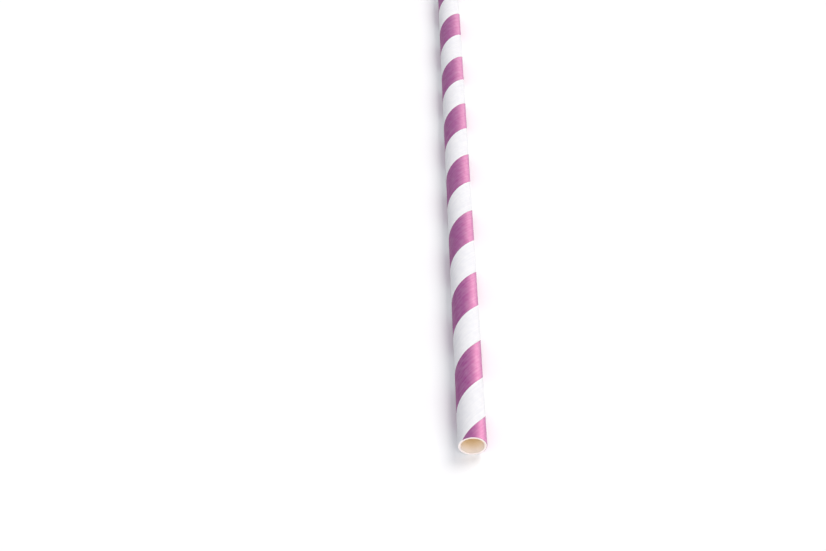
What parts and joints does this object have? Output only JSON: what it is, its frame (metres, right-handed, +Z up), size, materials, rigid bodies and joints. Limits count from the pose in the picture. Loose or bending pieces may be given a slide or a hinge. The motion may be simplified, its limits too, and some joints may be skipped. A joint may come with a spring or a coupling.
{
  "type": "paper drinking straw",
  "caption": "Slim spiral-wound paper tube with a purple and white screw stripe, open at both square-cut ends, for sipping a drink.",
  "frame": {"origin": "on the surface that the straw lies on, under the middle of its length", "axes": "+Z up, +Y along the straw from the mouth that faces the viewer to the far end, +X to the viewer's right"},
  "size_m": [0.006, 0.197, 0.0059],
  "materials": {
    "white_paper": "matte bleached paper, wound in a spiral",
    "purple_print": "matte paper printed with a purple stripe",
    "cream_paper": "matte unbleached paper in the bore and at the cut ends"
  },
  "bodies": {
    "root": {"straw": "white_paper"}
  },
  "joints": []
}
